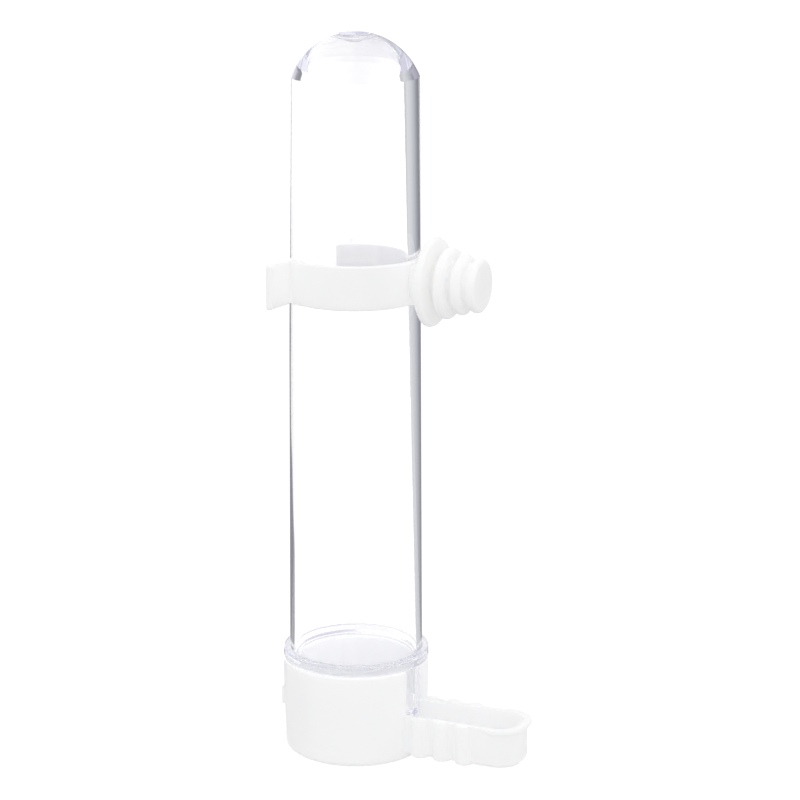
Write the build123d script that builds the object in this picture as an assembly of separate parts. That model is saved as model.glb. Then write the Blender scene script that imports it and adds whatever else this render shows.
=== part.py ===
from build123d import *
import math
import os

# Tubular clip-on cage drinker: a clear domed tube, a cup with a side trough pushed on to
# its open end, and a snap clip with a stepped plug for the cage bars.
# Frame: millimetres, +Z up along the tube, origin on the tube's axis at the underside of
# the cup. The trough and the clip's plug point along +X.

# ---------------------------------------------------------------- cup sizes
CUP_R_FOOT = 17.15
CUP_R_RIM = 17.6
CUP_RIM_Z = 22.95
CUP_RIM_BAND = 4.7       # straight band below the rim, above the tapered wall
CUP_RIM_EDGE = 0.45      # rounding of the rim's outer edge
CUP_RIM_EDGE_MID = 0.13  # inset of the rounding's middle, both ways
CUP_CORNER = 1.7         # rounding at the bottom corner
CUP_FLOOR_Z = 2.6
WELL_STEP = 0.35         # the space below the spigot is this much narrower than the socket
WELL_CORNER = 1.6        # rounding where its wall meets the floor
SOCKET_FLARE = 0.45      # lead-in at the mouth of the socket
SOCKET_FLARE_H = 0.6
CUT_OVER = 2.0           # how far the socket's cutter stands above the rim
FOOT_RECESS_R = 13.9     # shallow ring recess between the foot ring and the middle pad
FOOT_RECESS_H = 0.6
FOOT_RECESS_BEVEL = 0.3
FOOT_PAD_R = 7.5
FOOT_PAD_FLARE = 0.4     # the pad widens upwards by this much
SLOT_HALF_W = 6.55       # slot in the wall above the trough
SLOT_X0 = 8.0
SLOT_LEN = 14.0
SLOT_H = 20.0
SLOT_DROP = 0.6          # the slot starts this far below the trough's rim

# ---------------------------------------------------------------- tube sizes
TUBE_R_LOW = 16.0        # outer radius just above the flange
TUBE_R_TOP = 15.12       # outer radius at the shoulder of the dome (mould draft)
TUBE_Z_TOP = 163.55      # shoulder between the tube and the dome, a crease
DOME_H = 10.3            # rise of the dome above the shoulder
BORE_R_LOW = 14.56       # inner radius at the flange
BORE_R_TOP = 11.40       # inner radius at the core's shoulder: its draft thickens the wall
CORE_DOME_Z = 163.85     # foot of the core's rounded end
CORE_DOME_H = 9.2        # its rise: half an ellipse, so the wall thins towards the top
CORE_DOME_SPANS = 7      # spans in the spline from the swell to the foot
SWELL_R = 5.5            # round the axis the inner dome is pushed in, under the gate dimple
SWELL = 2.4
SWELL_SPANS = 5
FLANGE_R = 17.55
FLANGE_Z0 = CUP_RIM_Z + 0.05   # the flange's underside, on the cup's rim
FLANGE_Z1 = 25.55
FLANGE_LOW_EDGE = 0.3    # rounding of the flange's bottom edge
FLANGE_TOP_EDGE = 0.25   # rounding of the flange's top edge
FLANGE_EDGE_MID = 0.3    # inset of each rounding's middle, as a share of its size
TUBE_FOOT_OUT = 0.15     # small concave foot of the tube on the flange
TUBE_FOOT_H = 0.2
SPIGOT_R = 15.45         # outer radius of the spigot in the cup
SPIGOT_BORE_R = 14.0
SPIGOT_Z0 = 7.75         # open end of the spigot
SPIGOT_LEAD = 0.45       # taper at the open end, outside
SPIGOT_LEAD_H = 1.2
SPIGOT_BEVEL = 0.25      # bevel at the open end, inside
BORE_STEP_Z0 = FLANGE_Z0 + 1.1  # the bore widens from the spigot's radius to the tube's
BORE_STEP_Z1 = FLANGE_Z0 + 1.6
NOTCH_R = 4.0            # arched air notch facing the trough
NOTCH_TOP = 11.05        # sets the water level in the trough
NOTCH_INSET = 3.5        # its cutter starts this far inside the spigot's outer face
NOTCH_LEN = 8
GATE_R = 3.65            # dimple at the gate, on top of the dome
GATE_DEPTH = 1.6
GATE_LIP = 0.18          # rounded lip of the dimple
GATE_LIP_DROP = 0.14
STUB_R = 0.7             # gate stub in the middle of the dimple
STUB_TAPER = 0.08
STUB_EDGE_H = 0.28
STUB_H = 0.33

SOCKET_R = SPIGOT_R + 0.07     # bore for the spigot, with running clearance

# ---------------------------------------------------------------- trough sizes
TROUGH_HALF_W = 7.0
TROUGH_WALL = 0.95
TROUGH_Z0 = 1.95         # underside
TROUGH_Z1 = 11.85        # rim
TROUGH_H = TROUGH_Z1 - TROUGH_Z0
TROUGH_FLOOR_Z = 3.35
TROUGH_X0 = 9.0          # root of the outer block, inside the cup's wall
CHANNEL_X0 = 8.0         # root of the channel cut in it
CHANNEL_OVER = 0.5       # how far the channel's cutter stands above the rim
TROUGH_TIP_X = 44.3      # outer face of the end wall
TROUGH_END_R = 6.3       # corner radius in plan
END_BULGE = 0.35         # where the corners meet the end wall, back from the tip
END_CROWN = 0.12         # bow of the end wall between the corners
TROUGH_BOTTOM_ROUND = 1.35
CHANNEL_BOTTOM_ROUND = 1.0
ROUND_MIN_X = 12         # edges nearer the axis than this are left sharp
LIP_OUT = 1.0            # lip round the end of the rim
LIP_H = 1.2
LIP_X0 = 34.6
LIP_FADE = 4.0           # length over which the lip grows out of the side walls
LIP_ROUND = 0.5
RIB_ROWS = ((19.75, -1), (17.35, 1))  # x of the first rib, side in Y: staggered rows
RIB_PITCH = 5.72
RIB_COUNT = 3
RIB_R = 2.3
RIB_OUT = 1.3
RIB_ROUND = 0.55

# thumb rib on the back of the cup
THUMB_Z0, THUMB_Z1 = 9.75, 14.35
THUMB_R = CUP_R_RIM + 0.65
THUMB_ROUND = 0.45
THUMB_HALF_ANGLE = 21.0
THUMB_SECTOR_X = (-10, -40)    # near and far ends of the sector that trims it

# ---------------------------------------------------------------- clip sizes
CLIP_Z = 116.95          # mid-height of the band and axis of the plug
CLIP_H = 10.3
CLIP_BORE_R = 15.6
CLIP_BORE_CUT_H = 40
CLIP_T = 1.3
CLIP_MID_R = CLIP_BORE_R + CLIP_T / 2
CLIP_BEVEL = 0.22
CLIP_HALF_ANGLE = 133.0  # the band ends this far round from +X
TAB_OVERLAP_ANGLE = 2.0  # the tabs root this far short of the band's ends
TAB_LEN = 9.2
TAB_T = 1.35
TAB_BEAD_OUT = 0.12      # the bead stands this far proud of the tab's faces
TAB_LEAN = 6.0           # the tabs lean this many degrees back from square

# plug: (x of the rim's middle, rim radius)
PLUG_RIMS = [(20.0, 10.5), (24.05, 8.3), (27.75, 7.1), (31.45, 6.3)]
PLUG_RIM_T = 2.2
PLUG_CORE_R = 5.0
PLUG_X0 = 13.0
PLUG_NECK_X = 15.4       # end of the straight neck
PLUG_NECK_R = CLIP_H / 2 - 0.05
PLUG_FLARE_MID = (17.4, 7.1)   # middle of the trumpet behind the first rim
PLUG_HOLE_R = 3.1        # cored out from the bore side
PLUG_HOLE_TAPER = 0.25
PLUG_HOLE_X0 = 10
PLUG_HOLE_END = 29.0

STANDING = (Align.CENTER, Align.CENTER, Align.MIN)


# ---------------------------------------------------------------- shared helpers
def revolved(profile, axis=Axis.Z):
    """Closed XZ profile turned about an axis."""
    with BuildPart() as build:
        with BuildSketch(Plane.XZ):
            with BuildLine():
                profile()
            make_face()
        revolve(axis=axis)
    return build.part


def prism(points, z0, height):
    """Closed XY outline extruded up from z0."""
    outline = Polyline(*points, close=True)
    return extrude(Plane.XY.offset(z0) * make_face(outline), amount=height)


def facing_x(x, z):
    """Plane at (x, 0, z) looking along +X."""
    return Plane(origin=(x, 0, z), x_dir=(0, 1, 0), z_dir=(1, 0, 0))


def level_edges(part, z):
    """Edges lying flat at height z."""
    tol = 0.01
    boxes = [(edge, edge.bounding_box()) for edge in part.edges()]
    return [edge for edge, box in boxes if abs(box.min.Z - z) < tol and abs(box.max.Z - z) < tol]


def top_edge_round(r, z, size, mid):
    """Rounding of an outer top edge at (r, z), its middle inset by mid both ways."""
    ThreePointArc((r, z - size), (r - mid, z - mid), (r - size, z))


def bottom_corner_round(r, z, size):
    """Quarter round from a floor at z out and up to a wall at r."""
    diagonal = size * math.sin(math.pi / 4)
    ThreePointArc(
        (r - size, z), (r - size + diagonal, z + size - diagonal), (r, z + size)
    )


# ---------------------------------------------------------------- reservoir tube
def core_dome_z(r):
    """Height of the inner dome: half an ellipse, pushed in round the axis."""
    z = CORE_DOME_Z + CORE_DOME_H * math.sqrt(max(0.0, 1 - (r / BORE_R_TOP) ** 2))
    if r < SWELL_R:
        z -= SWELL * (1 + math.cos(math.pi * r / SWELL_R)) / 2
    return z


def tube_foot_lines():
    """Spigot, flange and concave foot, outside, from the open end up."""
    edge = FLANGE_LOW_EDGE
    mid = edge * FLANGE_EDGE_MID
    Polyline(
        (SPIGOT_BORE_R + SPIGOT_BEVEL, SPIGOT_Z0),
        (SPIGOT_R - SPIGOT_LEAD, SPIGOT_Z0),
        (SPIGOT_R, SPIGOT_Z0 + SPIGOT_LEAD_H),
        (SPIGOT_R, FLANGE_Z0),
        (FLANGE_R - edge, FLANGE_Z0),
    )
    ThreePointArc(
        (FLANGE_R - edge, FLANGE_Z0), (FLANGE_R - mid, FLANGE_Z0 + mid), (FLANGE_R, FLANGE_Z0 + edge)
    )
    Line((FLANGE_R, FLANGE_Z0 + edge), (FLANGE_R, FLANGE_Z1 - FLANGE_TOP_EDGE))
    top_edge_round(FLANGE_R, FLANGE_Z1, FLANGE_TOP_EDGE, FLANGE_TOP_EDGE * FLANGE_EDGE_MID)
    foot = (TUBE_R_LOW + TUBE_FOOT_OUT, FLANGE_Z1)
    Line((FLANGE_R - FLANGE_TOP_EDGE, FLANGE_Z1), foot)
    ThreePointArc(
        foot, (TUBE_R_LOW + 0.045, FLANGE_Z1 + 0.06), (TUBE_R_LOW, FLANGE_Z1 + TUBE_FOOT_H)
    )


def tube_outer_lines():
    """Tapered body, dome and gate dimple, ending on the axis at the top of the stub."""
    shoulder = (TUBE_R_TOP, TUBE_Z_TOP)
    Line((TUBE_R_LOW, FLANGE_Z1 + TUBE_FOOT_H), shoulder)

    dome_r = (TUBE_R_TOP ** 2 + DOME_H ** 2) / (2 * DOME_H)
    centre_z = TUBE_Z_TOP + DOME_H - dome_r
    gate_z = centre_z + math.sqrt(dome_r ** 2 - GATE_R ** 2)
    foot_angle = math.atan2(TUBE_Z_TOP - centre_z, TUBE_R_TOP)
    gate_angle = math.atan2(gate_z - centre_z, GATE_R)
    mid = (foot_angle + gate_angle) / 2
    ThreePointArc(
        shoulder, (dome_r * math.cos(mid), centre_z + dome_r * math.sin(mid)), (GATE_R, gate_z)
    )

    dimple_r, dimple_z = GATE_R - GATE_LIP, gate_z - GATE_LIP_DROP
    ThreePointArc((GATE_R, gate_z), (GATE_R - 0.06, gate_z - 0.04), (dimple_r, dimple_z))
    ball_r = (dimple_r ** 2 + GATE_DEPTH ** 2) / (2 * GATE_DEPTH)
    ball_z = dimple_z - GATE_DEPTH + ball_r
    mid_r = (dimple_r + STUB_R) / 2
    mid_z = ball_z - math.sqrt(ball_r ** 2 - mid_r ** 2)
    stub_z = ball_z - math.sqrt(ball_r ** 2 - STUB_R ** 2)
    ThreePointArc((dimple_r, dimple_z), (mid_r, mid_z), (STUB_R, stub_z))
    Polyline(
        (STUB_R, stub_z),
        (STUB_R - STUB_TAPER, stub_z + STUB_EDGE_H),
        (0.0, stub_z + STUB_H),
        (0.0, core_dome_z(0.0)),
    )


def tube_inner_lines():
    """Inner dome and bore, from the axis down to the open end."""
    share = SWELL_R / BORE_R_TOP
    slope = -CORE_DOME_H * SWELL_R / BORE_R_TOP ** 2 / math.sqrt(1 - share ** 2)
    radii = [SWELL_R * i / SWELL_SPANS for i in range(SWELL_SPANS + 1)]
    Spline(*[(r, core_dome_z(r)) for r in radii], tangents=((1, 0), (1, slope)))
    start = math.asin(share)
    angles = [
        start + (math.pi / 2 - start) * i / CORE_DOME_SPANS for i in range(CORE_DOME_SPANS + 1)
    ]
    Spline(
        *[(BORE_R_TOP * math.sin(a), CORE_DOME_Z + CORE_DOME_H * math.cos(a)) for a in angles],
        tangents=((1, slope), (0, -1)),
    )
    Polyline(
        (BORE_R_TOP, CORE_DOME_Z),
        (BORE_R_LOW, BORE_STEP_Z1),
        (SPIGOT_BORE_R, BORE_STEP_Z0),
        (SPIGOT_BORE_R, SPIGOT_Z0 + SPIGOT_BEVEL),
        (SPIGOT_BORE_R + SPIGOT_BEVEL, SPIGOT_Z0),
    )


def tube_profile():
    tube_foot_lines()
    tube_outer_lines()
    tube_inner_lines()


def reservoir_tube():
    notch_plane = facing_x(SPIGOT_R - NOTCH_INSET, NOTCH_TOP - NOTCH_R)
    return revolved(tube_profile) - notch_plane * Cylinder(NOTCH_R, NOTCH_LEN, align=STANDING)


# ---------------------------------------------------------------- drinking cup
def cup_outer_profile():
    bottom_corner_round(CUP_R_FOOT, 0, CUP_CORNER)
    Polyline(
        (CUP_R_FOOT, CUP_CORNER),
        (CUP_R_RIM, CUP_RIM_Z - CUP_RIM_BAND),
        (CUP_R_RIM, CUP_RIM_Z - CUP_RIM_EDGE),
    )
    top_edge_round(CUP_R_RIM, CUP_RIM_Z, CUP_RIM_EDGE, CUP_RIM_EDGE_MID)
    Polyline(
        (CUP_R_RIM - CUP_RIM_EDGE, CUP_RIM_Z), (0, CUP_RIM_Z), (0, 0), (CUP_R_FOOT - CUP_CORNER, 0)
    )


def cup_cavity_profile():
    well_r = SOCKET_R - WELL_STEP
    mouth_r = SOCKET_R + SOCKET_FLARE
    bottom_corner_round(well_r, CUP_FLOOR_Z, WELL_CORNER)
    Polyline(
        (well_r, CUP_FLOOR_Z + WELL_CORNER),
        (well_r, SPIGOT_Z0 - 0.6),
        (SOCKET_R, SPIGOT_Z0 - 0.25),
        (SOCKET_R, CUP_RIM_Z - SOCKET_FLARE_H),
        (mouth_r, CUP_RIM_Z + 0.01),
        (mouth_r, CUP_RIM_Z + CUT_OVER),
        (0, CUP_RIM_Z + CUT_OVER),
        (0, CUP_FLOOR_Z),
        (well_r - WELL_CORNER, CUP_FLOOR_Z),
    )


def trough_block(outset, x0, z0, z1):
    """Block on the trough's plan grown by outset: parallel sides and a rounded end."""
    half_w = TROUGH_HALF_W + outset
    tip = TROUGH_TIP_X + outset
    end_r = TROUGH_END_R + outset
    inset = end_r * (1 - math.sin(math.pi / 4))
    side_x, end_x = tip - end_r, tip - END_BULGE
    mid_x, mid_y = tip - inset - 0.1, half_w - inset + 0.05
    end_y = half_w - end_r
    with BuildPart() as build:
        with BuildSketch(Plane.XY.offset(z0)):
            with BuildLine():
                Line((x0, -half_w), (side_x, -half_w))
                ThreePointArc((side_x, -half_w), (mid_x, -mid_y), (end_x, -end_y))
                ThreePointArc((end_x, -end_y), (end_x + END_CROWN, 0), (end_x, end_y))
                ThreePointArc((end_x, end_y), (mid_x, mid_y), (side_x, half_w))
                Polyline((side_x, half_w), (x0, half_w), (x0, -half_w))
            make_face()
        extrude(amount=z1 - z0)
    return build.part


def round_bottom(block, z, radius):
    """Fillet a trough block's bottom edges, except the one across its root."""
    edges = [edge for edge in level_edges(block, z) if edge.center().X > ROUND_MIN_X]
    return fillet(edges, radius)


def trough_lip():
    """Lip round the end of the rim, fading into the side walls."""
    z0 = TROUGH_Z1 - LIP_H
    lip = trough_block(LIP_OUT, LIP_X0, z0, TROUGH_Z1)
    for side in (-1, 1):
        wedge = (
            (LIP_X0 - 0.5, side * (TROUGH_HALF_W - 0.02)),
            (LIP_X0 - 0.5, side * (TROUGH_HALF_W + LIP_OUT + 1)),
            (LIP_X0 + LIP_FADE, side * (TROUGH_HALF_W + LIP_OUT + 0.01)),
            (LIP_X0, side * (TROUGH_HALF_W - 0.02)),
        )
        lip = lip - prism(wedge, z0 - 1, LIP_H + 2)
    return fillet(level_edges(lip, z0), LIP_ROUND)


def finger_ribs():
    """Upright ribs down both sides of the trough."""
    ribs = []
    for first_x, side in RIB_ROWS:
        for i in range(RIB_COUNT):
            rib = Cylinder(RIB_R, TROUGH_H, align=STANDING)
            rib = fillet(level_edges(rib, 0), RIB_ROUND)
            y = side * (TROUGH_HALF_W + RIB_OUT - RIB_R)
            ribs.append(Location((first_x + i * RIB_PITCH, y, TROUGH_Z0)) * rib)
    return ribs


def thumb_rib():
    """Rounded disc trimmed to a sector on the -X side."""
    height = THUMB_Z1 - THUMB_Z0
    disc = Cylinder(THUMB_R, height, align=STANDING)
    disc = Location((0, 0, THUMB_Z0)) * fillet(disc.edges(), THUMB_ROUND)
    near, far = THUMB_SECTOR_X
    spread = math.tan(math.radians(THUMB_HALF_ANGLE))
    sector = ((near, -near * spread), (far, -far * spread), (far, far * spread), (near, near * spread))
    return disc & prism(sector, THUMB_Z0 - 1, height + 2)


def foot_recess():
    recess = Cylinder(FOOT_RECESS_R, FOOT_RECESS_H, align=STANDING)
    recess = chamfer(level_edges(recess, FOOT_RECESS_H), FOOT_RECESS_BEVEL)
    return recess - Cone(FOOT_PAD_R, FOOT_PAD_R + FOOT_PAD_FLARE, FOOT_RECESS_H, align=STANDING)


def drinking_cup():
    trough = trough_block(0, TROUGH_X0, TROUGH_Z0, TROUGH_Z1)
    trough = round_bottom(trough, TROUGH_Z0, TROUGH_BOTTOM_ROUND)
    cup = revolved(cup_outer_profile) + trough + trough_lip() + finger_ribs() + thumb_rib()

    # socket and water space
    cup = cup - revolved(cup_cavity_profile)
    channel = trough_block(-TROUGH_WALL, CHANNEL_X0, TROUGH_FLOOR_Z, TROUGH_Z1 + CHANNEL_OVER)
    cup = cup - round_bottom(channel, TROUGH_FLOOR_Z, CHANNEL_BOTTOM_ROUND)
    # slot in the wall, from the trough's rim up through the cup's rim
    slot = Box(SLOT_LEN, 2 * SLOT_HALF_W, SLOT_H, align=(Align.MIN, Align.CENTER, Align.MIN))
    cup = cup - Location((SLOT_X0, 0, TROUGH_Z1 - SLOT_DROP)) * slot
    return cup - foot_recess()


# ---------------------------------------------------------------- cage clip
def bevel_ends(part):
    """Chamfer the top and bottom edges of a part of the clip's height centred on z = 0."""
    ends = [edge for edge in part.edges() if abs(abs(edge.center().Z) - CLIP_H / 2) < 0.01]
    return chamfer(ends, CLIP_BEVEL)


def on_band(angle, side, turn=0):
    """Place on the band's middle radius, angle degrees round from +X, turned about Z."""
    a = math.radians(angle)
    x, y = CLIP_MID_R * math.cos(a), side * CLIP_MID_R * math.sin(a)
    return Location((x, y, CLIP_Z), (0, 0, 1), turn)


def clip_band():
    """C-shaped band: a chamfered section swept round the tube, with rounded ends."""
    r0, r1, h, bevel = CLIP_BORE_R, CLIP_BORE_R + CLIP_T, CLIP_H / 2, CLIP_BEVEL
    outline = Polyline(
        (r0 + bevel, 0, -h), (r1 - bevel, 0, -h), (r1, 0, -h + bevel), (r1, 0, h - bevel),
        (r1 - bevel, 0, h), (r0 + bevel, 0, h), (r0, 0, h - bevel), (r0, 0, -h + bevel),
        close=True,
    )
    ring = revolve(make_face(outline), axis=Axis.Z, revolution_arc=2 * CLIP_HALF_ANGLE)
    ring = Location((0, 0, CLIP_Z), (0, 0, 1), -CLIP_HALF_ANGLE) * ring
    ends = []
    for side in (1, -1):
        post = bevel_ends(Cylinder(CLIP_T / 2 - 0.01, CLIP_H))
        ends.append(on_band(CLIP_HALF_ANGLE, side) * post)
    return ring + ends


def finger_tab(side):
    """Flat tab from the end of an arm, pointing outwards, with a beaded free edge."""
    plate = Box(TAB_T, TAB_LEN, CLIP_H, align=(Align.CENTER, Align.MIN, Align.CENTER))
    bead = bevel_ends(Cylinder(TAB_T / 2 + TAB_BEAD_OUT, CLIP_H))
    tab = bevel_ends(plate) + Location((0, TAB_LEN, 0)) * bead
    turn = TAB_LEAN if side > 0 else 180 - TAB_LEAN
    return on_band(CLIP_HALF_ANGLE - TAB_OVERLAP_ANGLE, side, turn) * tab


def plug_profile():
    """Half profile of the plug in (x, radius), drawn in XZ and turned about X."""
    half = PLUG_RIM_T / 2
    neck = (PLUG_NECK_X, PLUG_NECK_R)
    Polyline((PLUG_X0, 0), (PLUG_X0, PLUG_NECK_R), neck)
    # trumpet from the band up to the first rim
    x, r = PLUG_RIMS[0]
    flare_end = (x - half * 0.55, r - 0.42)
    crest = (x + 0.35, r - 0.12)
    Spline(neck, PLUG_FLARE_MID, flare_end, tangents=((1, 0.55), (0.75, 1)))
    ThreePointArc(flare_end, (x - 0.15, r - 0.02), crest)
    for (x, r), (next_x, next_r) in zip(PLUG_RIMS, PLUG_RIMS[1:]):
        # over the crest and down the front, along the groove, up the back of the next rim
        front, back = x + half, next_x - half
        front_edge = (front - 0.02, r - 1.05)
        back_edge = (back + 0.12, next_r - 0.85)
        ThreePointArc(crest, (front - 0.22, r - 0.42), front_edge)
        Polyline(
            front_edge,
            (front + 0.05, PLUG_CORE_R + 0.25),
            (front + 0.3, PLUG_CORE_R),
            (back, PLUG_CORE_R),
            back_edge,
        )
        crest = (next_x - 0.1, next_r)
        ThreePointArc(back_edge, (back + 0.40, next_r - 0.22), crest)
    # flat nose of the last rim
    x, r = PLUG_RIMS[-1]
    nose = x + half
    ThreePointArc(crest, (nose - 0.30, r - 0.30), (nose, r - 0.95))
    Polyline((nose, r - 0.95), (nose, 0), (PLUG_X0, 0))


def cage_clip():
    plug = Location((0, 0, CLIP_Z)) * revolved(plug_profile, Axis.X)
    clip = clip_band() + [finger_tab(1), finger_tab(-1)] + plug
    clip = clip - Location((0, 0, CLIP_Z)) * Cylinder(CLIP_BORE_R, CLIP_BORE_CUT_H)
    hole = Cone(
        PLUG_HOLE_R + PLUG_HOLE_TAPER, PLUG_HOLE_R - PLUG_HOLE_TAPER,
        PLUG_HOLE_END - PLUG_HOLE_X0, align=STANDING,
    )
    return clip - facing_x(PLUG_HOLE_X0, CLIP_Z) * hole


# ---------------------------------------------------------------- write the pieces
os.makedirs("parts", exist_ok=True)
for build_piece in (reservoir_tube, drinking_cup, cage_clip):
    shape = build_piece()
    solids = shape.solids()
    if len(solids) == 1:
        shape = solids[0]
    export_step(shape, f"parts/{build_piece.__name__}.step")
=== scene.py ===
import math

import bmesh
import bpy
from mathutils import Matrix, Vector


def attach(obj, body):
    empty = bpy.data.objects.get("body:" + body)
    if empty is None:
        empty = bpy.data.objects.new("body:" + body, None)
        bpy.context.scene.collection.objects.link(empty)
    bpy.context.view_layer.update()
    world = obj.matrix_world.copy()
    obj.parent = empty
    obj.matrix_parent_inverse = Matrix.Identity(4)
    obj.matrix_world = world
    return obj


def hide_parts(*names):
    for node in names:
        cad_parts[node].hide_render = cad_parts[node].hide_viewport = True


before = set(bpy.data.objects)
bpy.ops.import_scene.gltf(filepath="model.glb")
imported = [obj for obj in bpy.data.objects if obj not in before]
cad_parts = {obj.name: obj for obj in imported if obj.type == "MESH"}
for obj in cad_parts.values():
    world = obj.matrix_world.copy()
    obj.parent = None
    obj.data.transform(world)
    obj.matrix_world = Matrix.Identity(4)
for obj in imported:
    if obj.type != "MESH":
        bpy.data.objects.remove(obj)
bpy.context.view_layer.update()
scene = bpy.context.scene
MM = 0.001


# ------------------------------------------------------------------ node helpers
def rgba(colour):
    """Opaque colour from a grey level or three channels."""
    if isinstance(colour, (int, float)):
        colour = (colour,) * 3
    return (*colour, 1.0)


def shade(colour, factor):
    return tuple(min(1.0, channel * factor) for channel in colour)


class Nodes:
    """Fills a cleared shader tree. Any input may be a plain value or a socket to link."""

    def __init__(self, owner):
        owner.use_nodes = True
        self.tree = owner.node_tree
        self.tree.nodes.clear()

    def new(self, kind, inputs=None, **props):
        node = self.tree.nodes.new("ShaderNode" + kind)
        for key, value in props.items():
            setattr(node, key, value)
        for key, value in (inputs or {}).items():
            if isinstance(value, bpy.types.NodeSocket):
                self.tree.links.new(value, node.inputs[key])
            else:
                node.inputs[key].default_value = value
        return node

    def math(self, operation, *values):
        return self.new("Math", dict(enumerate(values)), operation=operation).outputs[0]

    def add(self, a, b):
        return self.math("ADD", a, b)

    def mul(self, a, b):
        return self.math("MULTIPLY", a, b)

    def above(self, value, limit):
        return self.math("GREATER_THAN", value, limit)

    def below(self, value, limit):
        return self.math("LESS_THAN", value, limit)

    def degrees(self, operation, *values):
        """Inverse trigonometric operation with its result in degrees."""
        return self.mul(self.math(operation, *values), 180 / math.pi)

    def ramp(self, position, stops):
        """Colour ramp from (position, grey or RGB) stops."""
        node = self.new("ValToRGB", {0: position})
        elements = node.color_ramp.elements
        while len(elements) > 1:
            elements.remove(elements[0])
        elements[0].position = stops[0][0]
        elements[0].color = rgba(stops[0][1])
        for place, colour in stops[1:]:
            elements.new(place).color = rgba(colour)
        return node.outputs[0]

    def remap(self, value, span, to=(0.0, 1.0), smooth=False):
        """Clamped map of the range span onto the range to."""
        kind = "SMOOTHSTEP" if smooth else "LINEAR"
        inputs = dict(enumerate((value, *span, *to)))
        return self.new("MapRange", inputs, interpolation_type=kind, clamp=True).outputs[0]

    def mix(self, factor, a, b):
        """Colour a where factor is 0, b where it is 1."""
        a, b = (c if isinstance(c, bpy.types.NodeSocket) else rgba(c) for c in (a, b))
        return self.new("Mix", {0: factor, 6: a, 7: b}, data_type="RGBA").outputs[2]

    def mix_shader(self, factor, a, b):
        return self.new("MixShader", {0: factor, 1: a, 2: b}).outputs[0]

    def mapped(self, vector, scale, rotation=(0.0, 0.0, 0.0)):
        inputs = {"Vector": vector, "Scale": scale, "Rotation": rotation}
        return self.new("Mapping", inputs).outputs[0]

    def noise(self, vector, scale, detail, rough, distortion=0.0):
        inputs = {"Vector": vector, "Scale": scale, "Detail": detail, "Roughness": rough,
                  "Distortion": distortion}
        return self.new("TexNoise", inputs).outputs["Fac"]

    def bump(self, height, strength, distance):
        inputs = {"Strength": strength, "Distance": distance, "Height": height}
        return self.new("Bump", inputs).outputs[0]

    def separate(self, vector):
        return self.new("SeparateXYZ", {0: vector}).outputs

    def axis_distance(self, xyz):
        """Distance from the Z axis, from separated coordinates."""
        flat = self.new("CombineXYZ", {0: xyz["X"], 1: xyz["Y"]}).outputs[0]
        return self.new("VectorMath", {0: flat}, operation="LENGTH").outputs["Value"]


def new_material(name):
    material = bpy.data.materials.new(name)
    return material, Nodes(material)


# Limits on ray depths in the shaders lie half way between whole numbers of bounces.


# ------------------------------------------------------------------ materials
def clear_tint_and_painted_shade(nodes, coords):
    """Nearly colourless, with painted shade: darker grey in the dome, greyer in the thick flange
    and darker still where rays leave the flange's edge.
    """
    inner_radius = 0.0122  # surfaces nearer the axis are the inside of the dome and take the dome's painted shade this much lower
    inner_shift = 0.0018  # and turn milky this much lower
    dome_start = (0.16335, 0.16375)
    foot_start = (0.02595, 0.02565)
    flange_radius, flange_bottom = 0.0157, 0.02285
    flange_edge_radius = 0.01735

    xyz = nodes.separate(coords)
    radius = nodes.axis_distance(xyz)
    shade_patches = nodes.noise(coords, scale=170.0, detail=3.0, rough=0.6)
    level = nodes.add(xyz["Z"], nodes.mul(nodes.below(radius, inner_radius), inner_shift))
    # painted shade: the dome is painted a darker grey, in patches
    dome = nodes.mul(nodes.remap(level, span=dome_start),
                     nodes.remap(shade_patches, span=(0.25, 0.75), to=(0.75, 1.0)))
    low = nodes.remap(xyz["Z"], span=foot_start)
    flange = nodes.mul(low, nodes.mul(nodes.above(radius, flange_radius),
                                      nodes.above(xyz["Z"], flange_bottom)))
    tint = nodes.mix(dome, (0.995, 0.995, 0.998), (0.885, 0.885, 0.895))
    # painted shade: the flange zone is painted a little greyer
    tint = nodes.mix(low, tint, (0.955, 0.955, 0.962))
    # painted shade: the flange's edge is painted darker on its back faces, where light leaves it,
    # than where light goes in
    exit_shade_mask = nodes.mul(nodes.new("NewGeometry").outputs["Backfacing"],
                        nodes.above(radius, flange_edge_radius))
    flange_shade = nodes.mix(exit_shade_mask, (0.83, 0.83, 0.845), (0.70, 0.70, 0.712))
    patchy = nodes.remap(shade_patches, span=(0.3, 0.7), to=(0.8, 1.0))
    return nodes.mix(nodes.mul(flange, patchy), tint, flange_shade)


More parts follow.
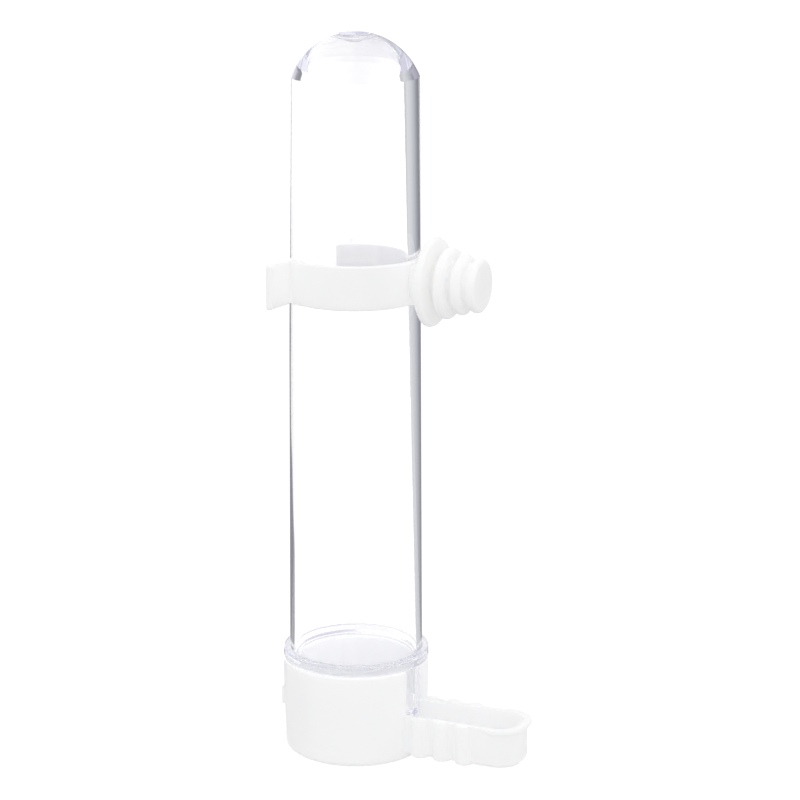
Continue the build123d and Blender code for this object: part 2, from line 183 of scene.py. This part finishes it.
def clear_plastic():
    """Polished clear polystyrene, faintly blue-violet in depth."""
    ripple_share, swell_share = 0.55, 0.45
    polish, rub_rough, touch_rough = 0.006, 0.020, 0.012

    material, nodes = new_material("clear_polystyrene")
    coords = nodes.new("TexCoord").outputs["Object"]
    # faint ripples drawn out down the tube, and a slower swell
    ripple = nodes.noise(nodes.mapped(coords, scale=(1.0, 1.0, 0.12)),
                         scale=95.0, detail=2.0, rough=0.5)
    swell = nodes.noise(coords, scale=38.0, detail=1.0, rough=0.4)
    height = nodes.add(nodes.mul(ripple, ripple_share), nodes.mul(swell, swell_share))
    # hairline rub marks and hazy touches lift the roughness a little
    rub_coords = nodes.mapped(coords, scale=(1.0, 1.0, 9.0), rotation=(0.35, 0.1, 0.0))
    rub = nodes.noise(rub_coords, scale=240.0, detail=3.0, rough=0.6)
    rub = nodes.remap(rub, span=(0.62, 0.78))
    touch = nodes.noise(coords, scale=55.0, detail=3.0, rough=0.55)
    touch = nodes.remap(touch, span=(0.60, 0.80))
    marks = nodes.add(nodes.mul(rub, rub_rough), nodes.mul(touch, touch_rough))
    plastic = nodes.new("BsdfPrincipled", {
        # the base colour carries painted shade in the dome and the flange
        "Base Color": clear_tint_and_painted_shade(nodes, coords),
        "IOR": 1.57,
        "Transmission Weight": 1.0,
        "Roughness": nodes.add(polish, marks),
        "Normal": nodes.bump(height, strength=0.16, distance=0.0004),
    }).outputs[0]
    # shadow, diffuse and much-bent rays pass straight through, so what stands inside isn't
    # put in a false shadow
    rays = nodes.new("LightPath").outputs
    through = nodes.math("MAXIMUM", nodes.above(rays["Ray Depth"], 8.5),
                         nodes.above(rays["Diffuse Depth"], 0.5))
    straight = nodes.new("BsdfTransparent", {"Color": rgba((0.995, 0.995, 0.998))}).outputs[0]
    late = nodes.mix_shader(through, plastic, straight)
    depth_tint = {"Color": rgba((0.80, 0.81, 0.92)), "Density": 12.0}
    nodes.new("OutputMaterial", {
        "Surface": nodes.mix_shader(rays["Is Shadow Ray"], late, straight),
        "Volume": nodes.new("VolumeAbsorption", depth_tint).outputs[0],
    })
    return material


def white_plastic(name, tint, sss, depth, rough, grain, haze, shade_radius=None):
    """Satin white polypropylene with fine grain and flow marks.

    sss and depth set the translucency, haze the darkening of the cloudy patches. Surfaces
    nearer the Z axis than the given radius get painted shade, a darker grey.
    """
    flow_lift = 1.02  # brightness of the flow marks
    # darkening of the painted shade on the face that grips the tube
    inner_face_shade = 0.77
    flow_rough, scuff_rough = 0.14, 0.10
    flow_height, scuff_depth = 0.6, 0.25

    material, nodes = new_material(name)
    coords = nodes.new("TexCoord").outputs["Object"]
    cloud = nodes.noise(coords, scale=60.0, detail=3.0, rough=0.55)
    flow = nodes.noise(nodes.mapped(coords, scale=(0.35, 1.0, 1.6)),
                       scale=190.0, detail=4.0, rough=0.6, distortion=1.2)
    colour = nodes.mix(nodes.remap(cloud, span=(0.35, 0.68)), shade(tint, 1.0 - haze), tint)
    colour = nodes.mix(nodes.remap(flow, span=(0.58, 0.74), to=(0.0, 0.5)),
                       colour, shade(tint, flow_lift))
    if shade_radius is not None:
        # painted shade: the face that grips the tube is darkened to stand in for the shade it
        # lies in
        painted_shade = nodes.below(nodes.axis_distance(nodes.separate(coords)), shade_radius)
        painted_shade = nodes.mul(painted_shade, nodes.remap(flow, span=(0.35, 0.65), to=(0.8, 1.0)))
        colour = nodes.mix(painted_shade, colour, shade(tint, inner_face_shade))
    fine = nodes.noise(coords, scale=5200.0, detail=2.0, rough=0.5)
    scuff = nodes.noise(nodes.mapped(coords, scale=(1.0, 7.0, 1.0), rotation=(0.2, 0.5, 0.9)),
                        scale=330.0, detail=3.0, rough=0.6)
    scuff = nodes.remap(scuff, span=(0.6, 0.8))
    flow_swing = nodes.mul(nodes.math("SUBTRACT", flow, 0.5), flow_rough)
    roughness = nodes.add(nodes.add(rough, flow_swing), nodes.mul(scuff, scuff_rough))
    height = nodes.add(nodes.mul(fine, grain), nodes.mul(flow, flow_height))
    height = nodes.math("SUBTRACT", height, nodes.mul(scuff, scuff_depth))
    plastic = nodes.new("BsdfPrincipled", {
        "Base Color": colour,
        "IOR": 1.49,
        "Specular IOR Level": 0.32,
        "Subsurface Weight": sss,
        "Subsurface Radius": (1.0, 0.97, 0.92),
        "Subsurface Scale": depth,
        "Roughness": roughness,
        "Normal": nodes.bump(height, strength=0.22, distance=0.00012),
    })
    nodes.new("OutputMaterial", {"Surface": plastic.outputs[0]})
    return material


mat_clear = clear_plastic()
mat_cup = white_plastic("cup_polypropylene", tint=(0.950, 0.951, 0.954), sss=0.85,
                        depth=0.0032, rough=0.34, grain=0.5, haze=0.012)
mat_clip = white_plastic("clip_polypropylene", tint=(0.998, 0.998, 0.998), sss=0.80,
                         depth=0.0028, rough=0.40, grain=0.6, haze=0.008, shade_radius=0.0157)


# ------------------------------------------------------------------ outline helpers
def arc(start, middle, end, steps):
    """Points after start up to end on the circle through three points."""
    (ax, ay), (bx, by), (cx, cy) = start, middle, end
    a_sq, b_sq, c_sq = ax**2 + ay**2, bx**2 + by**2, cx**2 + cy**2
    double_area = 2 * (ax * (by - cy) + bx * (cy - ay) + cx * (ay - by))
    x0 = (a_sq * (by - cy) + b_sq * (cy - ay) + c_sq * (ay - by)) / double_area
    y0 = (a_sq * (cx - bx) + b_sq * (ax - cx) + c_sq * (bx - ax)) / double_area
    radius = math.hypot(ax - x0, ay - y0)
    first, mid, last = (math.atan2(y - y0, x - x0) for x, y in (start, middle, end))
    turn = 2 * math.pi
    sweep = (last - first) % turn
    if (mid - first) % turn > sweep:
        sweep -= turn
    angles = [first + sweep * k / steps for k in range(1, steps + 1)]
    return [(x0 + radius * math.cos(a), y0 + radius * math.sin(a)) for a in angles]


def round_corner(start, corner, end, steps):
    """Start and the arc to end that cuts the corner between them."""
    pull = 0.3  # the arc's middle, as a share of both legs from the corner
    middle = tuple(c + pull * (s - c + e - c) for s, c, e in zip(start, corner, end))
    return [start] + arc(start, middle, end, steps)


def straight_line(start, end, steps):
    """Evenly spaced points after start up to end."""
    return [tuple(s + (e - s) * k / steps for s, e in zip(start, end))
            for k in range(1, steps + 1)]


def cap_radius(half_width, height):
    """Radius of the sphere whose cap has this half width and height."""
    return (half_width**2 + height**2) / (2 * height)


def circle_z(centre_z, radius, r):
    """Height of a circle's upper half at distance r from the axis."""
    return centre_z + math.sqrt(radius**2 - r**2)


# ------------------------------------------------------------------ reservoir tube (mm)
FOOT_Z = 7.75
FOOT_CHAMFER = 0.25
SPIGOT_BORE = 14.0
SPIGOT_RINGS = (12.0, 17.0)  # heights of the spigot's extra rings
FLANGE_BOTTOM = 23.0
WALL_STEPS = 26


def tube_outside():
    """(radius, z) points from the spigot's foot up to the axis in the gate dimple."""
    spigot_r, foot_inset, foot_taper = 15.45, 0.45, 1.2
    flange_r, flange_top = 17.55, 25.55
    flange_low_edge, flange_top_edge = 0.3, 0.25
    low_r, low_z, fillet = 16.0, 25.75, 0.15
    top_r, top_z, dome_height = 15.12, 163.55, 10.3
    gate_r, gate_depth, stub_r = 3.65, 1.6, 0.7
    lip_width, lip_drop = 0.18, 0.14

    points = [(SPIGOT_BORE + FOOT_CHAMFER, FOOT_Z), (spigot_r - foot_inset, FOOT_Z),
              (spigot_r, FOOT_Z + foot_taper)]
    points += [(spigot_r, z) for z in (*SPIGOT_RINGS, FLANGE_BOTTOM)]
    points += round_corner((flange_r - flange_low_edge, FLANGE_BOTTOM),
                           (flange_r, FLANGE_BOTTOM),
                           (flange_r, FLANGE_BOTTOM + flange_low_edge), steps=9)
    points += round_corner((flange_r, flange_top - flange_top_edge), (flange_r, flange_top),
                           (flange_r - flange_top_edge, flange_top), steps=12)
    points += round_corner((low_r + fillet, flange_top), (low_r, flange_top),
                           (low_r, low_z), steps=9)
    points += straight_line((low_r, low_z), (top_r, top_z), WALL_STEPS)

    # spherical dome up to the gate's edge
    dome_r = cap_radius(top_r, dome_height)
    dome_z = top_z + dome_height - dome_r
    gate_z = circle_z(dome_z, dome_r, gate_r)
    mid_angle = (math.atan2(top_z - dome_z, top_r) + math.atan2(gate_z - dome_z, gate_r)) / 2
    middle = (dome_r * math.cos(mid_angle), dome_z + dome_r * math.sin(mid_angle))
    points += arc((top_r, top_z), middle, (gate_r, gate_z), steps=30)

    # lip, spherical dimple and the small stub on the axis
    dimple_r, dimple_z = gate_r - lip_width, gate_z - lip_drop
    points += arc((gate_r, gate_z), (gate_r - 0.06, gate_z - 0.04), (dimple_r, dimple_z), steps=5)
    sphere_r = cap_radius(dimple_r, gate_depth)
    sphere_z = dimple_z - gate_depth + sphere_r

    def dimple_point(r):
        return (r, sphere_z - math.sqrt(sphere_r**2 - r**2))

    stub = dimple_point(stub_r)
    points += arc((dimple_r, dimple_z), dimple_point((dimple_r + stub_r) / 2), stub, steps=14)
    points += [(stub_r - 0.08, stub[1] + 0.28), (0.0, stub[1] + 0.33)]
    return points


def tube_inside():
    """(radius, z) points from the axis under the dome down to the spigot's foot.

    The drafted bore ends in half an ellipse, pushed down round the axis to leave a wall
    under the gate dimple.
    """
    top_r, low_r = 11.40, 14.56
    core_z, core_height, core_steps = 163.85, 9.2, 72
    swell_r, swell = 5.5, 2.4
    step_top, step_bottom = FLANGE_BOTTOM + 1.6, FLANGE_BOTTOM + 1.1

    points = []
    for k in range(core_steps):
        angle = math.pi / 2 * k / core_steps
        r = top_r * math.sin(angle)
        z = core_z + core_height * math.cos(angle)
        if r < swell_r:
            z -= swell * (1 + math.cos(math.pi * r / swell_r)) / 2
        points.append((r, z))
    points.append((top_r, core_z))
    points += straight_line((top_r, core_z), (low_r, step_top), WALL_STEPS)
    heights = (step_bottom, *reversed(SPIGOT_RINGS), FOOT_Z + FOOT_CHAMFER)
    return points + [(SPIGOT_BORE, z) for z in heights]


def lathe(name, profile, segments):
    """Closed profile of (radius, z) in mm turned about Z. A point on the axis is one vertex."""
    bm = bmesh.new()
    rings = []
    for r, z in profile:
        count = 1 if r < 1e-6 else segments
        angles = [2 * math.pi * k / segments for k in range(count)]
        rings.append([bm.verts.new((r * MM * math.cos(a), r * MM * math.sin(a), z * MM))
                      for a in angles])
    for a, b in zip(rings, rings[1:] + rings[:1]):
        if len(a) == 1 and len(b) == 1:
            continue
        for k in range(segments):
            after = (k + 1) % segments
            if len(a) == 1:
                bm.faces.new((a[0], b[after], b[k]))
            elif len(b) == 1:
                bm.faces.new((a[k], a[after], b[0]))
            else:
                bm.faces.new((a[k], a[after], b[after], b[k]))
    bmesh.ops.recalc_face_normals(bm, faces=bm.faces)
    mesh = bpy.data.meshes.new(name)
    bm.to_mesh(mesh)
    bm.free()
    obj = bpy.data.objects.new(name, mesh)
    scene.collection.objects.link(obj)
    return obj


def cut_notch(obj):
    """Arched notch through the +X side of the spigot's foot."""
    radius, length, x, z = 4.0, 8.0, 15.95, 7.05
    bpy.ops.mesh.primitive_cylinder_add(
        vertices=96, radius=radius * MM, depth=length * MM,
        location=(x * MM, 0, z * MM), rotation=(0, math.pi / 2, 0))
    cutter = bpy.context.object
    notch = obj.modifiers.new("notch", "BOOLEAN")
    notch.operation = "DIFFERENCE"
    notch.solver = "EXACT"
    notch.object = cutter
    depsgraph = bpy.context.evaluated_depsgraph_get()
    cut_mesh = bpy.data.meshes.new_from_object(obj.evaluated_get(depsgraph))
    obj.modifiers.clear()
    whole_mesh = obj.data
    obj.data = cut_mesh
    bpy.data.meshes.remove(whole_mesh)
    bpy.data.objects.remove(cutter)


def smooth_by_angle(obj, degrees):
    """Smooth shading, sharp across edges that turn by more than the angle."""
    bm = bmesh.new()
    bm.from_mesh(obj.data)
    limit = math.radians(degrees)
    for face in bm.faces:
        face.smooth = True
    for edge in bm.edges:
        edge.smooth = not (len(edge.link_faces) == 2 and edge.calc_face_angle(0.0) > limit)
    bm.to_mesh(obj.data)
    bm.free()
    obj.data.update()


def make_tube():
    obj = lathe("clear_tube", tube_outside() + tube_inside(), segments=224)
    cut_notch(obj)
    smooth_by_angle(obj, degrees=13)
    obj.data.materials.clear()
    obj.data.materials.append(mat_clear)
    return obj


tube = make_tube()
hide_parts("reservoir_tube")
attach(tube, "tube")


# ------------------------------------------------------------------ the two white mouldings
def dress(node, material):
    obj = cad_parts[node]
    for slot in obj.material_slots:
        slot.material = material
    if not obj.material_slots:
        obj.data.materials.append(material)


dress("drinking_cup", mat_cup)
dress("cage_clip", mat_clip)


# ------------------------------------------------------------------ floor
def floor_material():
    """White floor that glows, more so to the camera, and that bent rays pass through."""
    glow, camera_glow = 0.93, 0.22
    glow_share = 0.72

    material, nodes = new_material("studio_floor")
    seen = nodes.new("LightPath").outputs["Is Camera Ray"]
    diffuse = nodes.new("BsdfDiffuse", {"Color": rgba(0.93)}).outputs[0]
    strength = nodes.add(glow, nodes.mul(seen, camera_glow))
    emission = nodes.new("Emission", {"Color": rgba(1.0), "Strength": strength}).outputs[0]
    body = nodes.mix_shader(glow_share, diffuse, emission)
    # rays the clear tube bends towards the floor see the world's surround instead
    rays = nodes.new("LightPath").outputs
    bent = nodes.mul(nodes.above(rays["Ray Depth"], 0.5), nodes.below(rays["Diffuse Depth"], 0.5))
    bent = nodes.mul(bent, nodes.math("SUBTRACT", 1.0, rays["Is Shadow Ray"]))
    straight = nodes.new("BsdfTransparent").outputs[0]
    nodes.new("OutputMaterial", {"Surface": nodes.mix_shader(bent, body, straight)})
    return material


bpy.ops.mesh.primitive_plane_add(size=12.0, location=(0, 0, -0.0001))
floor = bpy.context.object
floor.name = "studio_floor"
floor.data.materials.append(floor_material())

# ------------------------------------------------------------------ world
# (bearing in degrees, grey or RGB); bearing 0 is straight ahead of the camera, plus is right
FLAG_RIGHT = [
    (-180, 0.9), (-20, (0.16, 0.17, 0.19)), (3, (0.16, 0.17, 0.20)), (9, (0.22, 0.235, 0.265)),
    (15.6, (0.32, 0.34, 0.37)), (22, (0.44, 0.465, 0.50)), (31, (0.56, 0.585, 0.61)),
    (39, (0.66, 0.68, 0.70)), (52, (0.74, 0.755, 0.77)), (56, (0.60, 0.61, 0.62)),
    (64, (0.66, 0.67, 0.68)), (110, 0.92), (180, 0.9)]
MIRROR_RIGHT = [(4, 0.25), (25, 0.30), (42, 0.42), (60, 0.55), (100, 0.9), (180, 0.92)]
MIRROR_HIGH = [
    (-180, 0.92), (-100, 0.92), (-55, 1.6), (-40, 2.4), (-12, 3.4), (-2.6, 3.4), (-1, 0.8),
    *MIRROR_RIGHT]
MIRROR_LOW = [
    (-180, 0.92), (-100, 0.92), (-60, 0.60), (-30, 0.34), (-4, 0.28), *MIRROR_RIGHT]
# (how far down the flag, 0 to 1; its reach to the left as a share of FLAG_REACH degrees)
FLAG_LEFT = [
    (0.0, 0.0), (0.14, 0.03), (0.30, 0.09), (0.49, 0.19), (0.57, 0.32), (0.65, 0.40),
    (0.81, 0.56), (1.0, 0.62)]
FLAG_REACH = 60.0
# (bearing to either side as a share of SLANT_SPAN degrees, brightness)
SLANT_BRIGHTNESS = [
    (0.0, 1.20), (0.05, 1.22), (0.10, 1.29), (0.15, 1.43), (0.20, 1.56), (0.25, 1.68),
    (0.33, 1.95), (0.42, 2.3), (0.50, 2.6), (1.0, 2.6)]
SLANT_SPAN = 60.0


def bearing_ramp(nodes, across, stops):
    return nodes.ramp(across, [(0.5 + bearing / 360.0, tone) for bearing, tone in stops])


def soft_light(nodes, direction, world_z, rays):
    """Near-even light, a little more from above and from the camera's right."""
    top_gain, side_gain, tube_gain = 0.03, 0.02, 0.07
    camera_right = (0.9135, 0.4067, 0.0)
    level = nodes.add(1.0, nodes.mul(world_z, top_gain))
    side = nodes.new("VectorMath", {0: direction, 1: camera_right}, operation="DOT_PRODUCT")
    level = nodes.add(level, nodes.mul(side.outputs["Value"], side_gain))
    grey = nodes.new("CombineColor", {0: level, 1: level, 2: level}).outputs[0]
    # light come in through the clear plastic makes up for what its skins turned away
    inside = nodes.above(rays["Transparent Depth"], 0.5)
    gain = nodes.add(1.0, nodes.mul(inside, tube_gain))
    return nodes.new("VectorMath", {0: grey, "Scale": gain}, operation="SCALE").outputs[0]


def flags(nodes, across, bearing, elevation):
    """Grey card to the right, a dark flag reaching further left the lower it is, then white."""
    right = bearing_ramp(nodes, across, FLAG_RIGHT)
    reach = nodes.ramp(nodes.remap(elevation, span=(8.0, -6.0)), FLAG_LEFT)
    reach = nodes.math("MAXIMUM", nodes.mul(reach, FLAG_REACH),
                       nodes.remap(elevation, span=(8.2, 9.5), to=(8.0, 0.0)))
    beyond = nodes.math("SUBTRACT", nodes.mul(bearing, -1.0), reach)
    return nodes.mix(nodes.remap(beyond, span=(-1.5, 2.5), smooth=True), right, 1.25)


def straight_through(nodes, bearing, elevation, rays):
    """Ground behind both walls, brighter at a slant to make up for the skins' reflection."""
    slant = nodes.math("DIVIDE", nodes.math("ABSOLUTE", bearing), SLANT_SPAN)
    bright = nodes.ramp(slant, SLANT_BRIGHTNESS)
    steep = nodes.remap(nodes.math("ABSOLUTE", elevation), span=(24.0, 34.0), smooth=True)
    bright = nodes.mix(steep, bright, (1.10, 1.10, 1.12))
    deep = nodes.above(rays["Transmission Depth"], 4.5)
    return nodes.mix(deep, bright, (1.12, 1.12, 1.14))


def turned_in_wall(nodes, flag_tone, bearing, world_z, turned, rays):
    """Seen by rays reflected on their way through the plastic."""
    lost = nodes.math("MAXIMUM", nodes.above(rays["Transmission Depth"], 2.5),
                      nodes.above(rays["Glossy Depth"], 1.5))
    lost = nodes.mul(lost, turned)
    # steep rays: above, white on the left and violet grey on the right; below, the reverse
    rise = nodes.degrees("ARCSINE", world_z)
    over = nodes.mix(nodes.remap(bearing, span=(-25.0, 40.0), smooth=True),
                     1.30, (0.78, 0.76, 0.86))
    under = nodes.mix(nodes.remap(bearing, span=(-20.0, 15.0), smooth=True),
                      (0.82, 0.80, 0.88), 1.10)
    tone = nodes.mix(lost, flag_tone, (0.50, 0.48, 0.56))
    tone = nodes.mix(nodes.remap(rise, span=(4.0, 16.0), smooth=True), tone, over)
    return nodes.mix(nodes.remap(rise, span=(-26.0, -40.0), smooth=True), tone, under)


def mirrored(nodes, across, elevation):
    """Mirrored at the tube's outer skin and on the white parts."""
    tone = bearing_ramp(nodes, across, MIRROR_HIGH)
    # each band of elevation fades over its span, in degrees
    for span, band in (((5.7, 0.5), bearing_ramp(nodes, across, MIRROR_LOW)),
                       ((-6.0, -6.5), 0.86),
                       ((16.0, 30.0), 0.72)):
        tone = nodes.mix(nodes.remap(elevation, span=span, smooth=True), tone, band)
    return tone


def studio_world():
    """Each kind of ray sees its own surround, most of them turned with the camera."""
    backdrop = 1.06

    world = bpy.data.worlds.new("studio")
    scene.world = world
    nodes = Nodes(world)
    direction = nodes.new("TexCoord").outputs["Generated"]
    world_z = nodes.separate(direction)["Z"]
    in_view = nodes.new("VectorTransform", {0: direction}, vector_type="VECTOR",
                        convert_from="WORLD", convert_to="CAMERA").outputs[0]
    view = nodes.separate(in_view)
    bearing = nodes.degrees("ARCTAN2", view["X"], view["Z"])
    elevation = nodes.degrees("ARCSINE", view["Y"])
    across = nodes.add(nodes.math("DIVIDE", bearing, 360.0), 0.5)

    rays = nodes.new("LightPath").outputs
    fresh = nodes.below(rays["Diffuse Depth"], 0.5)
    turned = nodes.above(rays["Glossy Depth"], 0.5)
    bent = nodes.mul(nodes.above(rays["Transmission Depth"], 0.5), fresh)
    bounced = nodes.mul(nodes.mul(turned, fresh), nodes.below(rays["Transmission Depth"], 0.5))

    flag_tone = flags(nodes, across, bearing, elevation)
    through_tube = nodes.mix(turned, straight_through(nodes, bearing, elevation, rays),
                             turned_in_wall(nodes, flag_tone, bearing, world_z, turned, rays))
    colour = nodes.mix(bounced, soft_light(nodes, direction, world_z, rays),
                       mirrored(nodes, across, elevation))
    colour = nodes.mix(bent, colour, through_tube)
    colour = nodes.mix(rays["Is Camera Ray"], colour, backdrop)
    background = nodes.new("Background", {"Color": colour}).outputs[0]
    nodes.new("OutputWorld", {"Surface": background})


studio_world()


# ------------------------------------------------------------------ light and camera
def soft_key():
    """Weak area light, above and in front to the right, unseen in the plastic."""
    place, target = Vector((0.55, -0.75, 0.85)), Vector((0.0, 0.0, 0.09))
    light = bpy.data.lights.new("soft_key", "AREA")
    light.shape = "RECTANGLE"
    light.size, light.size_y = 0.9, 0.7
    light.energy = 0.25
    obj = bpy.data.objects.new("soft_key", light)
    obj.location = place
    obj.rotation_euler = (target - place).to_track_quat("-Z", "Y").to_euler()
    obj.visible_transmission = False
    obj.visible_glossy = False
    scene.collection.objects.link(obj)


def camera():
    azimuth, elevation = math.radians(24.0), math.radians(14.27)
    roll = 0.00115  # radians
    distance, aim_z, shift_right = 0.61703, 0.08665, 0.010595
    back = Vector((math.sin(azimuth) * math.cos(elevation),
                   -math.cos(azimuth) * math.cos(elevation), math.sin(elevation)))
    level_right = Vector((math.cos(azimuth), math.sin(azimuth), 0.0))
    level_up = back.cross(level_right)
    right = level_right * math.cos(roll) + level_up * math.sin(roll)
    up = level_up * math.cos(roll) - level_right * math.sin(roll)
    place = Vector((0, 0, aim_z)) + level_right * shift_right + back * distance
    data = bpy.data.cameras.new("camera")
    data.sensor_width = 36.0
    data.lens = 116.9523
    data.clip_start, data.clip_end = 0.01, 50
    obj = bpy.data.objects.new("camera", data)
    rows = [(right[i], up[i], back[i], place[i]) for i in range(3)]
    obj.matrix_world = Matrix((*rows, (0, 0, 0, 1)))
    scene.collection.objects.link(obj)
    scene.camera = obj


soft_key()
camera()

scene.view_settings.view_transform = "Standard"
scene.view_settings.look = "None"
scene.view_settings.exposure = 0.0
scene.view_settings.gamma = 1.0
# enough bounces for light that runs round inside the clear flange and between white walls
scene.cycles.max_bounces = 20
scene.cycles.diffuse_bounces = 8
scene.cycles.glossy_bounces = 14
scene.cycles.transmission_bounces = 16
scene.cycles.transparent_max_bounces = 32
